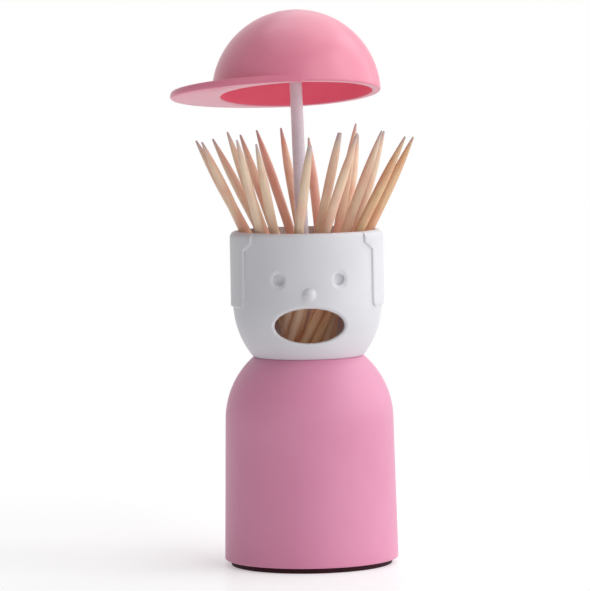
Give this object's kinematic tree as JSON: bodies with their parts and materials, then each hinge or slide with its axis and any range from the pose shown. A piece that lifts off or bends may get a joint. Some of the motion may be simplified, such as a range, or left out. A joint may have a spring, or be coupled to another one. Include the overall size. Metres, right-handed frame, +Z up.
{
  "type": "toothpick dispenser",
  "caption": "Figure-shaped toothpick dispenser: the cap pulls up on a stem and lifts a fan of toothpicks out of the head, with an open mouth below.",
  "frame": {"origin": "centre of the foot's flat underside, on the body's axis", "axes": "+Z up along the body, -Y out of the face, +X to the right of someone who looks at the face"},
  "size_m": [0.0584, 0.0489, 0.1332],
  "materials": {
    "pink_body": "soft satin, pink",
    "pink_cap": "soft satin, pink",
    "white_head": "fine matte, white",
    "white_stem": "smooth, white",
    "socket_nylon": "moulded nylon, off-white",
    "lifter_nylon": "moulded nylon, off-white",
    "magazine_plastic": "moulded, white",
    "plug_plastic": "moulded, pink",
    "foot_rubber": "matte, dark",
    "toothpick_wood": "bare birch"
  },
  "bodies": {
    "base": {"body_shell": "pink_body", "base_plug": "plug_plastic", "foot_pad": "foot_rubber", "head": "white_head", "magazine_tube": "magazine_plastic"},
    "lifter": {"lifter": "lifter_nylon"},
    "stem": {"stem": "white_stem"},
    "cap_socket": {"cap_socket": "socket_nylon"},
    "cap": {"cap": "pink_cap"},
    "toothpick_01": {"toothpick_01": "toothpick_wood"},
    "toothpick_02": {"toothpick_02": "toothpick_wood"},
    "toothpick_03": {"toothpick_03": "toothpick_wood"},
    "toothpick_04": {"toothpick_04": "toothpick_wood"},
    "toothpick_05": {"toothpick_05": "toothpick_wood"},
    "toothpick_06": {"toothpick_06": "toothpick_wood"},
    "toothpick_07": {"toothpick_07": "toothpick_wood"},
    "toothpick_08": {"toothpick_08": "toothpick_wood"},
    "toothpick_09": {"toothpick_09": "toothpick_wood"},
    "toothpick_10": {"toothpick_10": "toothpick_wood"},
    "toothpick_11": {"toothpick_11": "toothpick_wood"},
    "toothpick_12": {"toothpick_12": "toothpick_wood"},
    "toothpick_13": {"toothpick_13": "toothpick_wood"},
    "toothpick_14": {"toothpick_14": "toothpick_wood"},
    "toothpick_15": {"toothpick_15": "toothpick_wood"},
    "toothpick_16": {"toothpick_16": "toothpick_wood"},
    "toothpick_17": {"toothpick_17": "toothpick_wood"},
    "toothpick_18": {"toothpick_18": "toothpick_wood"},
    "toothpick_19": {"toothpick_19": "toothpick_wood"}
  },
  "joints": [
    {"name": "lift", "type": "slide", "parent": "base", "child": "lifter", "axis": [0, 0, 1], "range_m": [-0.03244, 0]},
    {"name": "stem_lean", "type": "hinge", "parent": "lifter", "child": "stem", "pos_m": [0, 0, 0.04189], "axis": [0, -1, 0], "range_deg": [-1.5, 0]},
    {"name": "cap_tip", "type": "hinge", "parent": "stem", "child": "cap_socket", "pos_m": [-0.00215, 0, 0.12386], "axis": [-0.9997, 0, -0.0262], "range_deg": [-10, 0]},
    {"name": "cap_spin", "type": "hinge", "parent": "cap_socket", "child": "cap", "pos_m": [-0.00215, 0, 0.12386], "axis": [-0.0258, 0.1736, 0.9845], "continuous": true},
    {"name": "toothpick_01_fold", "type": "hinge", "parent": "lifter", "child": "toothpick_01", "pos_m": [-0.00677, 0.00322, 0.04479], "axis": [0.9629, 0.2699, 0], "range_deg": [-25.7, 0]},
    {"name": "toothpick_02_fold", "type": "hinge", "parent": "lifter", "child": "toothpick_02", "pos_m": [-0.00747, -0.00062, 0.04479], "axis": [0.6961, 0.718, 0], "range_deg": [-24.5, 0]},
    {"name": "toothpick_03_fold", "type": "hinge", "parent": "lifter", "child": "toothpick_03", "pos_m": [-0.00568, -0.0049, 0.04479], "axis": [0.141, 0.99, 0], "range_deg": [-27.1, 0]},
    {"name": "toothpick_04_fold", "type": "hinge", "parent": "lifter", "child": "toothpick_04", "pos_m": [-0.00313, -0.00682, 0.04479], "axis": [-0.2832, 0.959, 0], "range_deg": [-28, 0]},
    {"name": "toothpick_05_fold", "type": "hinge", "parent": "lifter", "child": "toothpick_05", "pos_m": [0.00098, -0.00744, 0.04479], "axis": [-0.7501, 0.6613, 0], "range_deg": [-25.8, 0]},
    {"name": "toothpick_06_fold", "type": "hinge", "parent": "lifter", "child": "toothpick_06", "pos_m": [0.00373, -0.00651, 0.04479], "axis": [-0.9453, 0.3263, 0], "range_deg": [-28, 0]},
    {"name": "toothpick_07_fold", "type": "hinge", "parent": "lifter", "child": "toothpick_07", "pos_m": [0.00636, -0.00398, 0.04479], "axis": [-0.9874, -0.1581, 0], "range_deg": [-27.7, 0]},
    {"name": "toothpick_08_fold", "type": "hinge", "parent": "lifter", "child": "toothpick_08", "pos_m": [0.00749, 0.00036, 0.04479], "axis": [-0.7207, -0.6933, 0], "range_deg": [-24.5, 0]},
    {"name": "toothpick_09_fold", "type": "hinge", "parent": "lifter", "child": "toothpick_09", "pos_m": [0.0066, 0.00356, 0.04479], "axis": [-0.351, -0.9364, 0], "range_deg": [-28, 0]},
    {"name": "toothpick_10_fold", "type": "hinge", "parent": "lifter", "child": "toothpick_10", "pos_m": [0.00432, 0.00613, 0.04479], "axis": [0.1037, -0.9946, 0], "range_deg": [-28, 0]},
    {"name": "toothpick_11_fold", "type": "hinge", "parent": "lifter", "child": "toothpick_11", "pos_m": [0.00113, 0.00741, 0.04479], "axis": [0.5366, -0.8438, 0], "range_deg": [-28, 0]},
    {"name": "toothpick_12_fold", "type": "hinge", "parent": "lifter", "child": "toothpick_12", "pos_m": [-0.00268, 0.00701, 0.04479], "axis": [0.8834, -0.4687, 0], "range_deg": [-26.8, 0]},
    {"name": "toothpick_13_fold", "type": "hinge", "parent": "lifter", "child": "toothpick_13", "pos_m": [-0.00428, -0.00229, 0.04479], "axis": [0.2082, 0.9781, 0], "range_deg": [-21.2, 0]},
    {"name": "toothpick_14_fold", "type": "hinge", "parent": "lifter", "child": "toothpick_14", "pos_m": [0.00084, -0.00478, 0.04479], "axis": [-0.8639, 0.5037, 0], "range_deg": [-21.7, 0]},
    {"name": "toothpick_15_fold", "type": "hinge", "parent": "lifter", "child": "toothpick_15", "pos_m": [0.00452, -0.00175, 0.04479], "axis": [-0.8774, -0.4797, 0], "range_deg": [-19, 0]},
    {"name": "toothpick_16_fold", "type": "hinge", "parent": "lifter", "child": "toothpick_16", "pos_m": [0.00441, 0.00202, 0.04479], "axis": [-0.2675, -0.9636, 0], "range_deg": [-19.3, 0]},
    {"name": "toothpick_17_fold", "type": "hinge", "parent": "lifter", "child": "toothpick_17", "pos_m": [0.00199, 0.00442, 0.04479], "axis": [0.4325, -0.9016, 0], "range_deg": [-20.9, 0]},
    {"name": "toothpick_18_fold", "type": "hinge", "parent": "lifter", "child": "toothpick_18", "pos_m": [-0.00123, 0.00469, 0.04479], "axis": [0.9027, -0.4302, 0], "range_deg": [-23.5, 0]},
    {"name": "toothpick_19_fold", "type": "hinge", "parent": "lifter", "child": "toothpick_19", "pos_m": [-0.00475, 0.00098, 0.04479], "axis": [0.7869, 0.6171, 0], "range_deg": [-19.1, 0]}
  ],
  "couplings": [
    {"joint": "stem_lean", "follows": "lift", "rad_per_m": 0.807},
    {"joint": "cap_tip", "follows": "lift", "rad_per_m": 5.38},
    {"joint": "toothpick_01_fold", "follows": "lift", "rad_per_m": 13.827},
    {"joint": "toothpick_02_fold", "follows": "lift", "rad_per_m": 13.181},
    {"joint": "toothpick_03_fold", "follows": "lift", "rad_per_m": 14.58},
    {"joint": "toothpick_04_fold", "follows": "lift", "rad_per_m": 15.064},
    {"joint": "toothpick_05_fold", "follows": "lift", "rad_per_m": 13.88},
    {"joint": "toothpick_06_fold", "follows": "lift", "rad_per_m": 15.064},
    {"joint": "toothpick_07_fold", "follows": "lift", "rad_per_m": 14.903},
    {"joint": "toothpick_08_fold", "follows": "lift", "rad_per_m": 13.181},
    {"joint": "toothpick_09_fold", "follows": "lift", "rad_per_m": 15.064},
    {"joint": "toothpick_10_fold", "follows": "lift", "rad_per_m": 15.064},
    {"joint": "toothpick_11_fold", "follows": "lift", "rad_per_m": 15.064},
    {"joint": "toothpick_12_fold", "follows": "lift", "rad_per_m": 14.418},
    {"joint": "toothpick_13_fold", "follows": "lift", "rad_per_m": 11.406},
    {"joint": "toothpick_14_fold", "follows": "lift", "rad_per_m": 11.675},
    {"joint": "toothpick_15_fold", "follows": "lift", "rad_per_m": 10.222},
    {"joint": "toothpick_16_fold", "follows": "lift", "rad_per_m": 10.383},
    {"joint": "toothpick_17_fold", "follows": "lift", "rad_per_m": 11.244},
    {"joint": "toothpick_18_fold", "follows": "lift", "rad_per_m": 12.643},
    {"joint": "toothpick_19_fold", "follows": "lift", "rad_per_m": 10.276}
  ]
}
